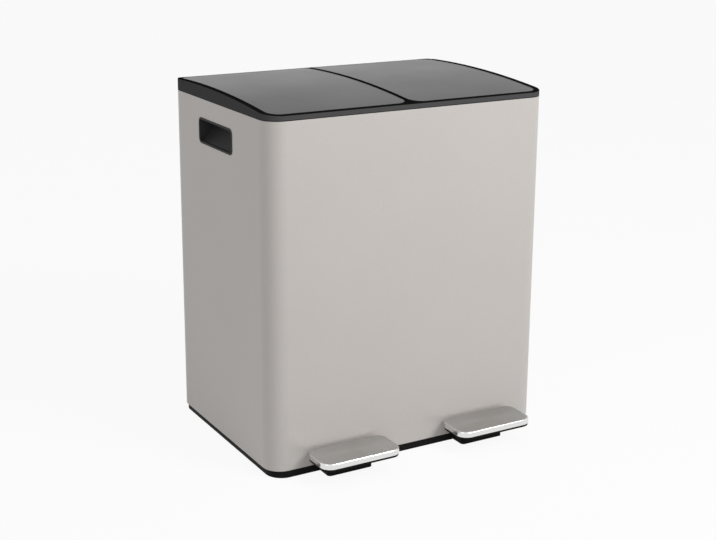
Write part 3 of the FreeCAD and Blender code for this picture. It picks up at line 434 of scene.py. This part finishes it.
def make_panel_coat():
    finish, tree, shader, place = new_finish("panel_coat")
    coat = use_group(tree, sprayed_coat, Point=place, Flake_Scale=1800.0, Ripple_Scale=900.0)
    edges = use_group(tree, softened_edge, Radius=0.0005)
    cloud = coat.outputs["Cloud"]
    tint = mix_colour(tree, cloud, (0.011, 0.011, 0.0107), (0.015, 0.015, 0.0147))
    flake_share = 0.3
    flakes = math_node(tree, "MULTIPLY", coat.outputs["Flake"], flake_share)
    feed(tree, mix_colour(tree, flakes, tint, (0.030, 0.030, 0.029)), shader.inputs["Base Color"])
    feed(tree, spread(tree, cloud, (0.3, 0.7), (0.28, 0.34)), shader.inputs["Roughness"])
    feed(tree, 0.215, shader.inputs["Specular IOR Level"])
    raise_surface(tree, shader, coat.outputs["Ripple"], distance=0.00002, strength=0.4,
                  base=edges.outputs["Normal"])
    return finish


dress(make_panel_coat(), *on_both("lid_panel"))

# ---- Pedals ----
# A brushed stainless cap, drawn with a rolled edge, over a black carrier. The brushing runs
# along the width of the pedal, and shoes leave fine scratches across it. The rolled edge is
# smoother than the flat top. The rim's colour is paler than the top's: a painted highlight
# on the rim and painted shade on the flat top.


def make_pedal_steel():
    finish, tree, shader, place = new_finish("pedal_steel")
    along_width = (14.0, 1500.0, 1500.0)
    along_depth = (260.0, 30.0, 260.0)
    rim_to_top = (0.75, 0.98)
    scuff_share = 0.18
    scuff_roughness = 0.06
    top_roughness = 0.15
    lines = use_group(tree, brushing, Point=stretched(tree, place, along_width)).outputs["Lines"]
    scuffs = rub_marks(tree, place, along_depth)
    edges = use_group(tree, softened_edge, Radius=0.0008)
    flat_top = facing_up(tree, place, rim_to_top)
    # Painted light: the flat top takes a darker colour (painted shade) and the rim a paler one
    # (painted highlight).
    top = mix_colour(tree, lines, (0.36, 0.36, 0.352), (0.50, 0.50, 0.49))
    scuffed = math_node(tree, "MULTIPLY", scuffs, scuff_share)
    top = mix_colour(tree, scuffed, top, (0.62, 0.615, 0.60))
    rim = mix_colour(tree, lines, (0.70, 0.70, 0.69), (0.82, 0.82, 0.81))
    feed(tree, mix_colour(tree, flat_top, rim, top), shader.inputs["Base Color"])
    rough = spread(tree, lines, (0.3, 0.7), (0.16, 0.24))
    rough = math_node(tree, "ADD", rough, math_node(tree, "MULTIPLY", flat_top, top_roughness))
    rough = math_node(tree, "ADD", rough, math_node(tree, "MULTIPLY", scuffs, scuff_roughness))
    feed(tree, rough, shader.inputs["Roughness"])
    feed(tree, 1.0, shader.inputs["Metallic"])
    feed(tree, 0.5, shader.inputs["Anisotropic"])
    raise_surface(tree, shader, lines, distance=0.00002, strength=0.35,
                  base=edges.outputs["Normal"])
    return finish


carrier_plastic = moulded_plastic(
    "carrier_plastic", dark=(0.006, 0.006, 0.006), light=(0.009, 0.009, 0.009),
    rough=(0.46, 0.58), grain=1400.0, depth=0.00004, edge_radius=0.0006, worn=0.2, gloss=0.06,
)
dress(make_pedal_steel(), *on_both("pedal_cover"))
dress(carrier_plastic, *on_both("pedal_carrier"))

# ---- Studio ----
# A pale floor and an even white surround. A large soft lamp stands to the front right and a
# weaker one to the left. The floor keeps a little of the bin's shadow.

white = (1.0, 1.0, 1.0)
floor_half_width = 9.0
floor_white_share = 0.92
room_strength = 0.40
lamp_target = (0.0, 0.0, 0.40)


def whiten(tree, plain, bright, share, surface):
    """Puts a share of the bright shader over the plain one where the eye, a reflection or a
    clear piece looks on, and the plain one alone where light is carried on to the bin."""
    path = tree.nodes.new("ShaderNodeLightPath")
    seen = math_node(tree, "MAXIMUM", path.outputs["Is Camera Ray"], path.outputs["Is Glossy Ray"])
    seen = math_node(tree, "MAXIMUM", seen, path.outputs["Is Transmission Ray"])
    either = tree.nodes.new("ShaderNodeMixShader")
    feed(tree, math_node(tree, "MULTIPLY", seen, share), either.inputs["Fac"])
    feed(tree, plain, either.inputs[1])
    feed(tree, bright, either.inputs[2])
    feed(tree, either.outputs["Shader"], surface)


def make_floor():
    mesh = bpy.data.meshes.new("floor")
    grid = bmesh.new()
    bmesh.ops.create_grid(grid, x_segments=1, y_segments=1, size=floor_half_width)
    grid.to_mesh(mesh)
    grid.free()
    floor = bpy.data.objects.new("floor", mesh)
    bpy.context.scene.collection.objects.link(floor)
    finish, tree, shader, place = new_finish("floor_white")
    speck = noise(tree, place, scale=60.0, detail=2.0, roughness=0.5)
    tone = mix_colour(tree, speck, (0.77, 0.77, 0.77), (0.79, 0.79, 0.79))
    feed(tree, tone, shader.inputs["Base Color"])
    feed(tree, 0.9, shader.inputs["Roughness"])
    glow = tree.nodes.new("ShaderNodeEmission")
    surface = tree.nodes["Material Output"].inputs["Surface"]
    whiten(tree, shader.outputs["BSDF"], glow.outputs["Emission"], floor_white_share, surface)
    mesh.materials.append(finish)


def make_room():
    room = bpy.data.worlds.new("studio")
    bpy.context.scene.world = room
    room.use_nodes = True
    tree = room.node_tree
    walls = tree.nodes["Background"]
    feed(tree, white, walls.inputs["Color"])
    feed(tree, room_strength, walls.inputs["Strength"])
    backdrop = tree.nodes.new("ShaderNodeBackground")
    feed(tree, white, backdrop.inputs["Color"])
    surface = tree.nodes["World Output"].inputs["Surface"]
    whiten(tree, walls.outputs["Background"], backdrop.outputs["Background"], 1.0, surface)


def soft_lamp(name, position, side, power):
    """A square lamp that faces the middle of the bin."""
    lamp = bpy.data.lights.new(name, "AREA")
    lamp.size = side
    lamp.energy = power
    holder = bpy.data.objects.new(name, lamp)
    bpy.context.scene.collection.objects.link(holder)
    holder.location = position
    aim = Vector(lamp_target) - Vector(position)
    holder.rotation_euler = aim.to_track_quat("-Z", "Y").to_euler()


make_floor()
make_room()
soft_lamp("lamp_front", position=(0.75, -1.65, 1.60), side=1.0, power=30.0)
soft_lamp("lamp_left", position=(-1.70, -0.90, 1.50), side=0.8, power=4.5)

# ---- Camera ----
# It stands in front and to the left, a little above the lids, where the picture was taken
# from. The shift places the bin in the frame as the picture does.

camera_place = (-1.1412, -1.9925, 0.9591)
yaw = math.radians(29.90)
pitch = math.radians(15.29)
roll = math.radians(0.37)

lens = bpy.data.cameras.new("camera")
lens.sensor_width = 36.0
lens.lens = 69.10
lens.shift_x = -0.0007
lens.shift_y = -0.0496
camera = bpy.data.objects.new("camera", lens)
bpy.context.scene.collection.objects.link(camera)
camera.location = camera_place
level = math.cos(pitch)
forward = Vector((math.sin(yaw) * level, math.cos(yaw) * level, -math.sin(pitch)))
camera.rotation_mode = "QUATERNION"
camera.rotation_quaternion = forward.to_track_quat("-Z", "Y") @ Quaternion((0.0, 0.0, 1.0), roll)
bpy.context.scene.camera = camera
bpy.context.scene.view_settings.view_transform = "Standard"
